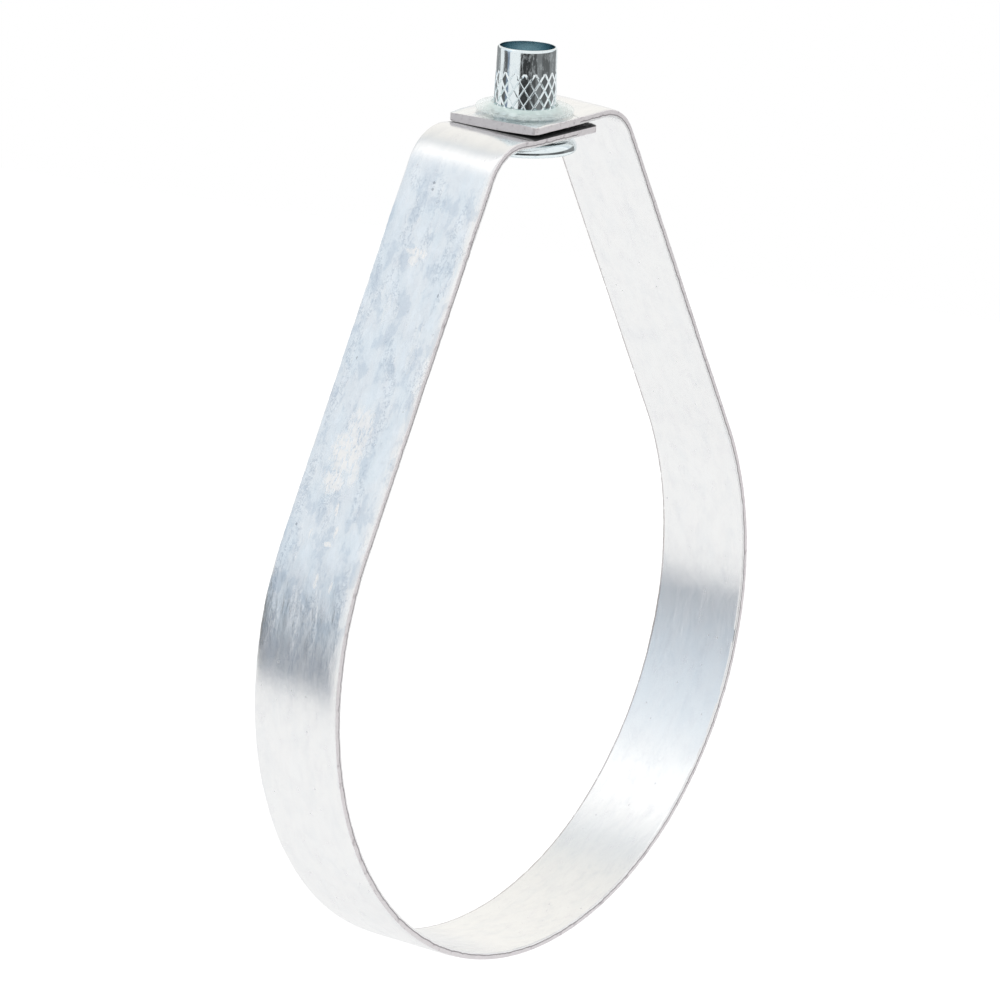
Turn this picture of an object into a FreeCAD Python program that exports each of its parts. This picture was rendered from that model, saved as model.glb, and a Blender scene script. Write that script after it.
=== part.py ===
import FreeCAD, Part
import math
import os

import Sketcher

# Loop pipe hanger: a pear-shaped steel band, a knurled insert nut that turns in the band's two
# overlapping tabs, and a soft washer pushed over the nut that keeps it from dropping out.
#
# Frame: the pipe's axis is Y and passes through the origin. The threaded rod comes down along Z,
# a little to the -X side of the pipe's axis. The left leg is at -X and carries the lower tab, the
# right leg carries the upper tab.
#
# Millimetres and degrees.
SIZES = {
    # The strip and its ring
    "strip_width": 27.2,
    "strip_thickness": 2.2,
    "ring_radius": 86.0,
    # The tabs: the rise runs from the ring's inner radius to the lower tab's upper face, and
    # shoulders and reaches run from the rod's axis to the start of a bend and to a cut end
    "rod_offset": 5.8,
    "tab_rise": 52.9,
    "tab_gap": 1.0,
    "left_shoulder": 17.94,
    "right_shoulder": 17.4,
    "upper_tab_reach": 12.8,
    "lower_tab_reach": 14.3,
    "left_bend_radius": 12.0,
    "right_bend_radius": 12.0,
    "tab_corner_radius": 1.2,
    "hole_clearance": 0.3,
    # The insert nut, for an M12 rod
    "thread_radius": 5.15,
    "nut_wall": 2.75,
    "nut_rise": 16.9,
    "nut_edge": 0.4,
    "mouth_wall": 0.6,
    "mouth_taper": 0.7,
    "mouth_depth": 4.5,
    "entry_chamfer": 1.3,
    "flange_reach": 6.3,
    "flange_thickness": 3.4,
    "flange_gap": 0.3,
    # The diamond knurl: it stands above the nut's smooth body, and its grooves don't reach it
    "knurl_height": 0.45,
    "knurl_depth": 0.35,
    "knurl_rise": 10.6,
    "knurl_starts": 18,
    "knurl_rows": 4,
    "knurl_land": 0.72,
    # The washer: its reach runs from its bore to its edge
    "washer_reach": 4.6,
    "washer_thickness": 0.7,
    "washer_rim": 0.8,
    "washer_lip_angle": 34.0,
    "washer_gap": 0.2,
    "washer_grip": 0.05,
}

UP = FreeCAD.Vector(0, 0, 1)
START, END, CENTRE = range(1, 4)
ORIGIN = (-START, START)

document = FreeCAD.newDocument("loop_pipe_hanger")
sheet = document.addObject("Spreadsheet::Sheet", "Sizes")
for row, (name, value) in enumerate(SIZES.items(), start=1):
    sheet.set(f"A{row}", name)
    sheet.set(f"B{row}", str(value))
    sheet.setAlias(f"B{row}", name)
document.recompute()


def size(name):
    return float(sheet.get(name))


def cells(text):
    """Turns names of sizes in a formula into references to the sheet."""
    words = []
    for word in text.split():
        words.append(f"Sizes.{word}" if word in SIZES else word)
    return " ".join(words)


# Levels above the pipe's axis that several pieces share
LOWER_TAB_BOTTOM = "ring_radius + tab_rise - strip_thickness"
UPPER_TAB_BOTTOM = "ring_radius + tab_rise + tab_gap"
UPPER_TAB_TOP = f"{UPPER_TAB_BOTTOM} + strip_thickness"
FLANGE_TOP = f"{LOWER_TAB_BOTTOM} - flange_gap"
FLANGE_BOTTOM = f"{FLANGE_TOP} - flange_thickness"
NUT_TOP = f"{UPPER_TAB_TOP} + nut_rise"
KNURL_TOP = f"{UPPER_TAB_TOP} + knurl_rise"
WASHER_BOTTOM = f"{UPPER_TAB_TOP} + washer_gap"

# Radii about the rod's axis that several pieces share
NUT_RADIUS = "thread_radius + nut_wall"
MOUTH_RADIUS = f"{NUT_RADIUS} - mouth_wall"
MOUTH_FLOOR = f"{MOUTH_RADIUS} - mouth_taper"
FLANGE_RADIUS = f"{NUT_RADIUS} + flange_reach"
KNURL_RADIUS = f"{NUT_RADIUS} + knurl_height"
HOLE_RADIUS = f"{KNURL_RADIUS} + hole_clearance"
WASHER_BORE = f"{KNURL_RADIUS} + washer_grip"
WASHER_RADIUS = f"{WASHER_BORE} + washer_reach"
WASHER_FLAT = f"{WASHER_RADIUS} - washer_rim"


def level(text):
    """The value of a formula that adds and subtracts sizes, with at most one pair of brackets."""
    total = 0.0
    sign = 1
    outer = 1
    for word in text.split():
        if word == "(":
            outer = sign
            sign = 1
        elif word == ")":
            outer = 1
        elif word == "-":
            sign = -1
        elif word == "+":
            sign = 1
        else:
            total += outer * sign * size(word)
    return total


class Outline:
    """A sketch on one of a body's origin planes, drawn at its true size and then tied to the sheet."""

    def __init__(self, body, name, role):
        self.sketch = body.newObject("Sketcher::SketchObject", name)
        plane = next(f for f in body.Origin.OriginFeatures if f.Role == role)
        self.sketch.AttachmentSupport = [(plane, "")]
        self.sketch.MapMode = "FlatFace"

    def line(self, start, end):
        segment = Part.LineSegment(FreeCAD.Vector(*start, 0), FreeCAD.Vector(*end, 0))
        return self.sketch.addGeometry(segment, False)

    def arc(self, centre, radius, first, last):
        """An arc that runs counter-clockwise between two angles in degrees."""
        circle = Part.Circle(FreeCAD.Vector(*centre, 0), UP, radius)
        arc = Part.ArcOfCircle(circle, math.radians(first), math.radians(last))
        return self.sketch.addGeometry(arc, False)

    def circle(self, centre, radius):
        return self.sketch.addGeometry(Part.Circle(FreeCAD.Vector(*centre, 0), UP, radius), False)

    def tie(self, kind, *where):
        return self.sketch.addConstraint(Sketcher.Constraint(kind, *where))

    def measure(self, kind, *where, equals):
        """A dimension that follows a formula of the sheet's sizes."""
        number = self.tie(kind, *where, self.measured(kind, where))
        self.sketch.setExpression(f"Constraints[{number}]", cells(equals))

    def measured(self, kind, where):
        """The dimension's present value, so that the sketch starts out solved."""
        if kind == "Radius":
            return self.sketch.Geometry[where[0]].Radius
        if len(where) == 1:
            line = self.sketch.Geometry[where[0]]
            return (line.EndPoint - line.StartPoint).Length
        first = self.sketch.getPoint(where[0], where[1])
        second = self.sketch.getPoint(where[2], where[3])
        return second.x - first.x if kind == "DistanceX" else second.y - first.y


def leg_lean(shoulder, bend_radius, underside):
    """How many degrees a leg leans: it runs along the tangent that ring and bend share."""
    rise = underside - bend_radius
    between = math.acos((size("ring_radius") - bend_radius) / math.hypot(shoulder, rise))
    return math.degrees(math.atan2(rise, shoulder) - between)


def ring_side(side, lean, shoulder, bend_radius, underside, reach_end):
    """Corner points of one leg, bend and tab, on the inner face and on the outer face.

    side is -1 for the left leg and 1 for the right one, shoulder is the bend's distance from the
    middle of the ring, and reach_end is the place of the tab's cut end along X.
    """
    angle = math.radians(lean)
    thickness = size("strip_thickness")
    outward = (side * math.cos(angle), math.sin(angle))
    centre = (side * shoulder, underside - bend_radius)
    points = {"centre": centre}
    for face, offset in (("inner", 0.0), ("outer", thickness)):
        foot = size("ring_radius") + offset
        turn = bend_radius + offset
        points[face] = {
            "foot": (outward[0] * foot, outward[1] * foot),
            "leg_top": (centre[0] + outward[0] * turn, centre[1] + outward[1] * turn),
            "tab_start": (centre[0], centre[1] + turn),
            "tab_end": (reach_end, centre[1] + turn),
        }
    return points


def make_band():
    """The strip: one ring, two straight legs and two flat tabs, bent from one piece."""
    body = document.addObject("PartDesign::Body", "band_body")
    body.Label = "band_loop"
    outline = Outline(body, "band_outline", "XZ_Plane")
    radius = size("ring_radius")
    thickness = size("strip_thickness")
    left_place = size("left_shoulder") + size("rod_offset")
    right_place = size("right_shoulder") - size("rod_offset")
    left_lean = leg_lean(left_place, size("left_bend_radius"), level(LOWER_TAB_BOTTOM))
    right_lean = leg_lean(right_place, size("right_bend_radius"), level(UPPER_TAB_BOTTOM))
    rings = {}
    for face, offset in (("inner", 0.0), ("outer", thickness)):
        rings[face] = outline.arc((0, 0), radius + offset, 180 - left_lean, 360 + right_lean)
        outline.tie("Coincident", rings[face], CENTRE, *ORIGIN)
    outline.measure("Radius", rings["inner"], equals="ring_radius")
    outline.measure("Radius", rings["outer"], equals="ring_radius + strip_thickness")

    upper_end = -size("rod_offset") - size("upper_tab_reach")
    lower_end = size("lower_tab_reach") - size("rod_offset")
    legs = (
        (-1, left_lean, left_place, "left_bend_radius", LOWER_TAB_BOTTOM, lower_end),
        (1, right_lean, right_place, "right_bend_radius", UPPER_TAB_BOTTOM, upper_end),
    )
    ends = {}
    bends = {}
    for side, lean, place, bend, underside, reach_end in legs:
        points = ring_side(side, lean, place, size(bend), level(underside), reach_end)
        ring_end = START if side < 0 else END
        first = 90 if side < 0 else lean
        last = 180 - lean if side < 0 else 90
        bend_start, bend_end = (END, START) if side < 0 else (START, END)
        tabs = {}
        arcs = {}
        for face, offset in (("inner", 0.0), ("outer", thickness)):
            corner = points[face]
            leg = outline.line(corner["foot"], corner["leg_top"])
            arcs[face] = outline.arc(points["centre"], size(bend) + offset, first, last)
            tabs[face] = outline.line(corner["tab_start"], corner["tab_end"])
            outline.tie("Tangent", rings[face], ring_end, leg, START)
            outline.tie("Tangent", leg, END, arcs[face], bend_start)
            outline.tie("Tangent", arcs[face], bend_end, tabs[face], START)
            outline.tie("Horizontal", tabs[face])
        cut = outline.line(points["inner"]["tab_end"], points["outer"]["tab_end"])
        outline.tie("Coincident", tabs["inner"], END, cut, START)
        outline.tie("Coincident", tabs["outer"], END, cut, END)
        outline.tie("Vertical", cut)
        outline.tie("Coincident", arcs["inner"], CENTRE, arcs["outer"], CENTRE)
        outline.measure("Radius", arcs["inner"], equals=bend)
        outline.measure("Distance", cut, equals="strip_thickness")
        outline.measure("DistanceY", *ORIGIN, cut, START, equals=underside)
        ends[side] = cut
        bends[side] = arcs["inner"]
    outline.measure("DistanceX", bends[-1], CENTRE, *ORIGIN, equals="left_shoulder + rod_offset")
    outline.measure("DistanceX", *ORIGIN, bends[1], CENTRE, equals="right_shoulder - rod_offset")
    outline.measure("DistanceX", ends[1], START, *ORIGIN, equals="rod_offset + upper_tab_reach")
    outline.measure(
        "DistanceX", ends[1], START, ends[-1], START, equals="upper_tab_reach + lower_tab_reach"
    )

    pad = body.newObject("PartDesign::Pad", "band_strip")
    pad.Profile = outline.sketch
    pad.SideType = "Symmetric"
    pad.setExpression("Length", cells("strip_width"))
    document.recompute()

    holes = Outline(body, "rod_holes", "XY_Plane")
    hole = holes.circle((-size("rod_offset"), 0), level(HOLE_RADIUS))
    holes.measure("Radius", hole, equals=HOLE_RADIUS)
    holes.measure("DistanceX", hole, CENTRE, *ORIGIN, equals="rod_offset")
    holes.tie("PointOnObject", hole, CENTRE, -1)
    pocket = body.newObject("PartDesign::Pocket", "tab_holes")
    pocket.Profile = holes.sketch
    pocket.Type = "ThroughAll"
    pocket.Reversed = True
    document.recompute()

    corners = body.newObject("PartDesign::Fillet", "tab_corners")
    corners.Base = (pocket, upright_edges(pocket.Shape))
    corners.setExpression("Radius", cells("tab_corner_radius"))
    return body


def upright_edges(shape):
    """Names of the short upright edges at the tabs' four corners."""
    names = []
    half_width = size("strip_width") / 2
    nearly = 0.001
    for number, edge in enumerate(shape.Edges, start=1):
        if len(edge.Vertexes) != 2:
            continue
        first = edge.Vertexes[0].Point
        second = edge.Vertexes[1].Point
        upright = math.hypot(first.x - second.x, first.y - second.y) < nearly
        outside = abs(abs(first.y) - half_width) < nearly
        if upright and outside and abs(first.z - second.z) > nearly:
            names.append(f"Edge{number}")
    return names


def make_nut_blank():
    """The nut without its knurl: a turned body, a flange with a full round rim and the bore."""
    body = document.addObject("PartDesign::Body", "nut_body")
    body.Label = "nut_blank"
    section = Outline(body, "nut_section", "XZ_Plane")
    rim = f"{FLANGE_RADIUS} - flange_thickness / 2"
    mouth_seat = "nut_wall - mouth_wall - mouth_taper"
    corners = (
        ("thread_radius + entry_chamfer", FLANGE_BOTTOM),
        (rim, FLANGE_BOTTOM),
        (rim, FLANGE_TOP),
        (NUT_RADIUS, FLANGE_TOP),
        (NUT_RADIUS, f"{NUT_TOP} - nut_edge"),
        (f"{NUT_RADIUS} - nut_edge", NUT_TOP),
        (MOUTH_RADIUS, NUT_TOP),
        (MOUTH_FLOOR, f"{NUT_TOP} - mouth_depth"),
        ("thread_radius", f"{NUT_TOP} - mouth_depth - ( {mouth_seat} )"),
        ("thread_radius", f"{FLANGE_BOTTOM} + entry_chamfer"),
    )
    half = size("flange_thickness") / 2
    rim_x = level(FLANGE_RADIUS) - half
    places = []
    for across, height in corners:
        x = rim_x if across == rim else level(across)
        places.append((x, level(height)))
    edges = []
    for number, place in enumerate(places):
        following = places[(number + 1) % len(places)]
        if number == 1:
            edges.append(section.arc((rim_x, level(FLANGE_BOTTOM) + half), half, -90, 90))
        else:
            edges.append(section.line(place, following))
    for number, (across, height) in enumerate(corners):
        before = edges[number - 1]
        here = edges[number]
        section.tie("Coincident", before, END, here, START)
        section.measure("DistanceX", *ORIGIN, here, START, equals=across)
        section.measure("DistanceY", *ORIGIN, here, START, equals=height)
    section.measure("DistanceX", *ORIGIN, edges[1], CENTRE, equals=rim)

    turned = body.newObject("PartDesign::Revolution", "nut_turned")
    turned.Profile = section.sketch
    turned.ReferenceAxis = (section.sketch, ["V_Axis"])
    turned.Angle = 360
    return body


def knurl_point(column, level_z, radius):
    """A point of the knurl; column counts starts round the nut, and may be a fraction."""
    angle = 2 * math.pi * column / size("knurl_starts")
    return FreeCAD.Vector(radius * math.cos(angle), radius * math.sin(angle), level_z)


def flat(*points):
    return Part.Face(Part.makePolygon([*points, points[0]]))


def diamond(column, middle, half_height, bottom_limit, top_limit):
    """Faces of one raised diamond: two for its land and two for each groove wall beside it.

    A diamond that is centred on the knurl's upper or lower end keeps only its inner half.
    """
    crest = level(KNURL_RADIUS)
    root = crest - size("knurl_depth")
    land = size("knurl_land")
    around = ((0, -1), (0.5, 0), (0, 1), (-0.5, 0))
    low = [knurl_point(column + dx, middle + dz * half_height, root) for dx, dz in around]
    high = [knurl_point(column + dx * land, middle + dz * half_height * land, crest) for dx, dz in around]
    keep_lower = middle > bottom_limit
    keep_upper = middle < top_limit
    faces = []
    if keep_lower and keep_upper:
        faces.append(flat(high[0], high[1], high[2]))
        faces.append(flat(high[0], high[2], high[3]))
    elif keep_lower:
        faces.append(flat(high[0], high[1], high[3]))
    else:
        faces.append(flat(high[1], high[2], high[3]))
    sides = []
    if keep_lower:
        sides += [(3, 0), (0, 1)]
    if keep_upper:
        sides += [(1, 2), (2, 3)]
    for first, second in sides:
        faces.append(flat(low[first], low[second], high[second]))
        faces.append(flat(low[first], high[second], high[first]))
    return faces


def knurl_end(level_z, odd):
    """The flat end of the knurl, whose edge steps in and out over the half diamonds."""
    crest = level(KNURL_RADIUS)
    root = crest - size("knurl_depth")
    reach = 0.5 * size("knurl_land")
    edge = []
    for start in range(int(size("knurl_starts"))):
        column = start + (0.5 if odd else 0.0)
        edge.append(knurl_point(column - 0.5, level_z, root))
        edge.append(knurl_point(column - reach, level_z, crest))
        edge.append(knurl_point(column + reach, level_z, crest))
    return flat(*edge)


def make_knurl():
    """A sleeve of raised diamonds round the nut, from the flange up."""
    bottom = level(FLANGE_TOP)
    top = level(KNURL_TOP)
    starts = int(size("knurl_starts"))
    steps = 2 * int(size("knurl_rows"))
    half_height = (top - bottom) / steps
    faces = []
    for step in range(steps + 1):
        shift = 0.5 * (step % 2)
        for start in range(starts):
            faces += diamond(start + shift, bottom + step * half_height, half_height,
                             bottom + half_height / 2, top - half_height / 2)
    faces.append(knurl_end(bottom, False))
    faces.append(knurl_end(top, steps % 2 == 1))
    shell = Part.Shell(faces)
    shell.sewShape()
    solid = Part.Solid(shell)
    if solid.Volume < 0:
        solid.reverse()
    inside = (level(NUT_RADIUS) + level(MOUTH_RADIUS)) / 2
    core = Part.makeCylinder(inside, top - bottom, FreeCAD.Vector(0, 0, bottom))
    feature = document.addObject("Part::Feature", "knurl")
    feature.Label = "knurl"
    feature.Shape = solid.cut(core)
    return feature


def make_nut():
    """The finished insert nut, on the rod's axis."""
    nut = document.addObject("Part::Fuse", "nut")
    nut.Label = "swivel_nut"
    nut.Base = make_nut_blank()
    nut.Tool = make_knurl()
    nut.setExpression("Placement.Base.x", cells("- rod_offset"))
    return nut


def make_washer():
    """The soft washer: flat at its rim, and drawn up into a lip where it grips the nut."""
    body = document.addObject("PartDesign::Body", "washer_body")
    body.Label = "retaining_washer"
    section = Outline(body, "washer_section", "XZ_Plane")
    lip_angle = size("washer_lip_angle")
    thickness = size("washer_thickness")
    base = level(WASHER_BOTTOM)
    edge_x = level(WASHER_RADIUS)
    flat_x = level(WASHER_FLAT)
    curve = (flat_x - level(WASHER_BORE)) / math.sin(math.radians(lip_angle))
    centre = (flat_x, base + curve)
    last = 270 - lip_angle
    ends = {}
    for name, radius in (("under", curve), ("over", curve - thickness)):
        ends[name] = (
            centre[0] + radius * math.cos(math.radians(last)),
            centre[1] + radius * math.sin(math.radians(last)),
        )
    under_flat = section.line((edge_x, base), (flat_x, base))
    under = section.arc(centre, curve, last, 270)
    lip = section.line(ends["under"], ends["over"])
    over = section.arc(centre, curve - thickness, last, 270)
    over_flat = section.line((flat_x, base + thickness), (edge_x, base + thickness))
    rim = section.line((edge_x, base + thickness), (edge_x, base))
    section.tie("Tangent", under_flat, END, under, END)
    section.tie("Perpendicular", under, START, lip, START)
    section.tie("Coincident", lip, END, over, START)
    section.tie("Tangent", over, END, over_flat, START)
    section.tie("Coincident", over_flat, END, rim, START)
    section.tie("Coincident", rim, END, under_flat, START)
    section.tie("Coincident", under, CENTRE, over, CENTRE)
    section.tie("Horizontal", under_flat)
    section.tie("Horizontal", over_flat)
    section.tie("Vertical", rim)
    section.measure("Distance", rim, equals="washer_thickness")
    section.measure("DistanceX", *ORIGIN, rim, END, equals=WASHER_RADIUS)
    section.measure("DistanceY", *ORIGIN, rim, END, equals=WASHER_BOTTOM)
    section.measure("DistanceX", *ORIGIN, under_flat, END, equals=WASHER_FLAT)
    section.measure("DistanceX", *ORIGIN, under, START, equals=WASHER_BORE)
    section.measure(
        "Radius", under, equals="( washer_reach - washer_rim ) / sin( washer_lip_angle * 1deg )"
    )

    turned = body.newObject("PartDesign::Revolution", "washer_turned")
    turned.Profile = section.sketch
    turned.ReferenceAxis = (section.sketch, ["V_Axis"])
    turned.Angle = 360
    body.setExpression("Placement.Base.x", cells("- rod_offset"))
    return body


def check(pieces):
    """Stops if anything in the document failed, or a piece isn't one sound solid."""
    for item in document.Objects:
        for word in ("Invalid", "Error"):
            if word in item.State:
                raise RuntimeError(f"{item.Label} is {word}")
    for piece in pieces:
        if piece.Shape.isNull() or not piece.Shape.isValid():
            raise RuntimeError(f"{piece.Label} has no valid shape")
        if len(piece.Shape.Solids) != 1:
            raise RuntimeError(f"{piece.Label} has {len(piece.Shape.Solids)} solids")


pieces = (make_band(), make_nut(), make_washer())
document.recompute()
check(pieces)
os.makedirs("parts", exist_ok=True)
for piece in pieces:
    piece.Shape.exportStep(f"parts/{piece.Label}.step")
    box = piece.Shape.BoundBox
    print(piece.Label, round(piece.Shape.Volume, 1), "mm3", box)
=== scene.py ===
"""A loop pipe hanger: bent galvanised band, knurled insert nut and soft retaining washer."""

import math

import bmesh
import bpy
from mathutils import Matrix, Vector


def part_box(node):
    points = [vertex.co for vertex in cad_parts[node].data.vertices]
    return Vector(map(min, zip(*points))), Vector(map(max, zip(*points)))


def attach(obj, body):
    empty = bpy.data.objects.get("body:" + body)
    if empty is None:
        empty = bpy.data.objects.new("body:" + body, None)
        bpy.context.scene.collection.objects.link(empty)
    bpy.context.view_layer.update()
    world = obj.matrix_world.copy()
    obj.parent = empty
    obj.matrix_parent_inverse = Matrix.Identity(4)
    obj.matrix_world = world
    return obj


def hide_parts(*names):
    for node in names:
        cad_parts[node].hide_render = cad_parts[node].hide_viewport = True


bl_info = {
    "name": "Loop pipe hanger",
    "version": (1, 0, 0),
    "blender": (4, 5, 0),
    "location": "View3D > Sidebar > Hanger",
    "description": "Models a swivel loop hanger around its packed frame",
    "category": "Object",
}

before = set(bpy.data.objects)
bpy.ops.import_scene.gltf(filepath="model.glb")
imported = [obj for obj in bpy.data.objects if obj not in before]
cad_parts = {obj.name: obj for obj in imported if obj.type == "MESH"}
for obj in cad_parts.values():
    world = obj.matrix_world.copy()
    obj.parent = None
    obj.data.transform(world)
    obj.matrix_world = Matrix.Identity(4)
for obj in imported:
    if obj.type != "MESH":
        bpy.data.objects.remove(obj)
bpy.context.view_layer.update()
MM = 0.001
# Vertices closer together than this are welded
WELD = 0.002 * MM

BAND_LOW, BAND_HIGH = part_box("band_loop")
NUT_LOW, NUT_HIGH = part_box("swivel_nut")
WASHER_LOW, WASHER_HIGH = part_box("retaining_washer")
AXIS_X = (NUT_LOW[0] + NUT_HIGH[0]) / 2
HALF_WIDTH = (BAND_HIGH[1] - BAND_LOW[1]) / 2


def length(name, text, value):
    """A length of the panel, in metres."""
    return bpy.props.FloatProperty(
        name=name, description=text, default=value, unit="LENGTH", precision=5
    )


def fraction(name, text, value):
    """A number of the panel between 0 and 1."""
    return bpy.props.FloatProperty(
        name=name, description=text, default=value, min=0, max=1, subtype="FACTOR"
    )


def colour(name, text, value):
    """A colour of the panel."""
    return bpy.props.FloatVectorProperty(
        name=name, description=text, default=value, subtype="COLOR", size=3, min=0, max=1
    )


class HangerBand(bpy.types.PropertyGroup):
    """Sizes and finish of the bent strip."""

    ring_radius: length("Ring radius", "Inner radius of the ring", 86.0 * MM)
    strip_thickness: length("Thickness", "Thickness of the strip", 2.2 * MM)
    bend_radius: length("Bend radius", "Inner radius of both bends", 12.0 * MM)
    left_bend: length("Left bend", "Where the left bend's centre lies along X", -23.74 * MM)
    right_bend: length("Right bend", "Where the right bend's centre lies along X", 11.6 * MM)
    upper_end: length("Upper tab's end", "Where the upper tab is cut off", -18.6 * MM)
    lower_end: length("Lower tab's end", "Where the lower tab is cut off", 8.5 * MM)
    tab_gap: length("Tab gap", "Space between the two tabs", 1.0 * MM)
    corner_radius: length("Corner radius", "Rounding of the tabs' corners", 1.2 * MM)
    hole_radius: length("Hole radius", "Radius of the holes in the tabs", 8.65 * MM)
    roughness: fraction("Roughness", "How blurred the sheet's reflections are", 0.25)
    sheet: colour("Sheet", "Colour of the rolled zinc surface", (0.865, 0.868, 0.866))
    cool: colour("Cool zinc", "Colour of the bluer patches", (0.82, 0.85, 0.865))
    dull: colour("Dull zinc", "Colour of the duller patches", (0.80, 0.80, 0.815))
    cut: colour("Cut edge", "Colour of the sheared steel edge", (0.80, 0.765, 0.78))
    rub: colour("Rub", "Colour of the pale rubbed film", (0.93, 0.91, 0.89))


class HangerNut(bpy.types.PropertyGroup):
    """Sizes and finish of the insert nut."""

    body_radius: length("Body radius", "Outer radius above the knurl", 7.9 * MM)
    mouth_radius: length("Mouth radius", "Inner radius at the lip", 7.3 * MM)
    thread_radius: length("Thread radius", "Minor radius of the thread", 5.15 * MM)
    thread_pitch: length("Thread pitch", "Rise of the thread in one turn", 1.75 * MM)
    knurl_height: length("Knurl height", "How far the knurl stands above the body", 0.45 * MM)
    knurl_top: length("Knurl top", "Level of the knurl's upper end", 152.9 * MM)
    knurl_starts: bpy.props.IntProperty(
        name="Knurl starts", description="Diamonds round the nut", default=18, min=6
    )
    flange_radius: length("Flange radius", "Outer radius of the flange", 14.2 * MM)
    lean: bpy.props.FloatProperty(
        name="Lean", description="How far the loose nut leans in its holes",
        default=math.radians(3.5), subtype="ANGLE",
    )
    zinc: colour("Zinc", "Colour of the bright bluish plating", (0.80, 0.87, 0.89))
    bore: colour("Bore", "Colour of the shaded plating inside", (0.18, 0.31, 0.36))


class HangerWasher(bpy.types.PropertyGroup):
    """Sizes and finish of the washer."""

    thickness: length("Thickness", "Thickness of the washer", 0.7 * MM)
    film: colour("Film", "Colour of the translucent plastic", (0.87, 0.95, 0.935))
    opacity: fraction("Opacity", "How much the plastic hides", 0.26)


class HangerStage(bpy.types.PropertyGroup):
    """The studio."""

    floor_level: length("Floor level", "Height of the floor under the hanging object", -190 * MM)
    lens: bpy.props.FloatProperty(
        name="Lens", description="Focal length of the camera", default=438.95, unit="CAMERA"
    )


def clamp(value):
    return min(max(value, 0.0), 1.0)


def eased(value, low, high):
    """0 up to low, 1 from high, and a soft step between."""
    share = clamp((value - low) / (high - low))
    return share * share * (3 - 2 * share)


# Working with meshes


def deselect():
    for thing in bpy.context.selected_objects:
        thing.select_set(False)


def activate(piece):
    deselect()
    piece.select_set(True)
    bpy.context.view_layer.objects.active = piece


def apply_transform():
    bpy.ops.object.transform_apply(location=True, rotation=True, scale=True)


def from_axis(point):
    """How far a point lies from the nut's axis."""
    return math.hypot(point.x - AXIS_X, point.y)


class Bench:
    """Edit mode on one piece, with vertices and faces picked by a test."""

    def __init__(self, piece):
        self.piece = piece

    def __enter__(self):
        activate(self.piece)
        bpy.ops.object.mode_set(mode="EDIT")
        return self

    def __exit__(self, *_):
        bpy.ops.object.mode_set(mode="OBJECT")

    def pick(self, wanted, kind="verts"):
        """Selects the vertices or faces that a test says yes to."""
        bpy.ops.mesh.select_mode(type={"verts": "VERT", "faces": "FACE"}[kind])
        bpy.ops.mesh.select_all(action="DESELECT")
        mesh = bmesh.from_edit_mesh(self.piece.data)
        mesh.normal_update()
        for part in [part for part in getattr(mesh, kind) if wanted(part)]:
            part.select_set(True)
        mesh.select_flush_mode()
        bmesh.update_edit_mesh(self.piece.data)

    def all(self):
        bpy.ops.mesh.select_mode(type="VERT")
        bpy.ops.mesh.select_all(action="SELECT")

    def move(self, x, y, z):
        bpy.ops.transform.translate(value=(x, y, z))

    def scale(self, x, y, z, centre):
        bpy.ops.transform.resize(value=(x, y, z), center_override=centre)

    def extrude(self, x=0.0, z=0.0):
        bpy.ops.mesh.extrude_region_move(TRANSFORM_OT_translate={"value": (x, 0.0, z)})

    def merge(self):
        self.all()
        bpy.ops.mesh.remove_doubles(threshold=WELD)

    def face_out(self):
        self.all()
        bpy.ops.mesh.normals_make_consistent(inside=False)


def apply_modifier(piece, kind, **settings):
    activate(piece)
    modifier = piece.modifiers.new(kind.title(), kind)
    for name, value in settings.items():
        setattr(modifier, name, value)
    bpy.ops.object.modifier_apply(modifier=modifier.name)


def push(piece, weight_of, amount, direction, texture=None, mid_level=0.0):
    """Moves vertices by an amount times a weight between 0 and 1 that depends on their place."""
    group = piece.vertex_groups.new(name="push")
    for vertex in piece.data.vertices:
        weight = weight_of(vertex.co)
        if weight > 0:
            group.add([vertex.index], min(weight, 1.0), "REPLACE")
    settings = {"texture": texture} if texture else {}
    apply_modifier(
        piece, "DISPLACE", vertex_group=group.name, strength=amount, direction=direction,
        mid_level=mid_level, texture_coords="LOCAL", **settings,
    )
    piece.vertex_groups.remove(piece.vertex_groups[0])


def clouds(name, scale, depth):
    texture = bpy.data.textures.new(name, "CLOUDS")
    texture.noise_scale = scale
    texture.noise_depth = depth
    return texture


def turned(name, outline, segments):
    """A piece turned about the nut's axis from a closed outline of radii and levels."""
    deselect()
    radius, level = outline[0]
    bpy.ops.mesh.primitive_plane_add(size=MM, location=(radius, 0, level))
    piece = bpy.context.object
    piece.name = name
    apply_transform()
    with Bench(piece) as bench:
        bench.all()
        bpy.ops.mesh.merge(type="CENTER")
        for (r0, z0), (r1, z1) in zip(outline, outline[1:]):
            bench.extrude(x=r1 - r0, z=z1 - z0)
        closing = {0, len(outline) - 1}
        bench.pick(lambda vertex: vertex.index in closing)
        bpy.ops.mesh.edge_face_add()
    apply_modifier(
        piece, "SCREW", angle=2 * math.pi, steps=segments, render_steps=segments, axis="Z",
        use_merge_vertices=True, merge_threshold=WELD, use_smooth_shade=True,
    )
    piece.location = (AXIS_X, 0, 0)
    apply_transform()
    with Bench(piece) as bench:
        bench.merge()
        bench.face_out()
    return piece


def smooth(piece, degrees):
    activate(piece)
    bpy.ops.object.shade_smooth_by_angle(angle=math.radians(degrees))


def arc_points(centre, radius, first, last, steps):
    """Points of an arc, as pairs, between two angles in degrees."""
    points = []
    for step in range(steps + 1):
        angle = math.radians(first + (last - first) * step / steps)
        points.append((centre[0] + radius * math.cos(angle), centre[1] + radius * math.sin(angle)))
    return points


# Shaders


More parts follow.
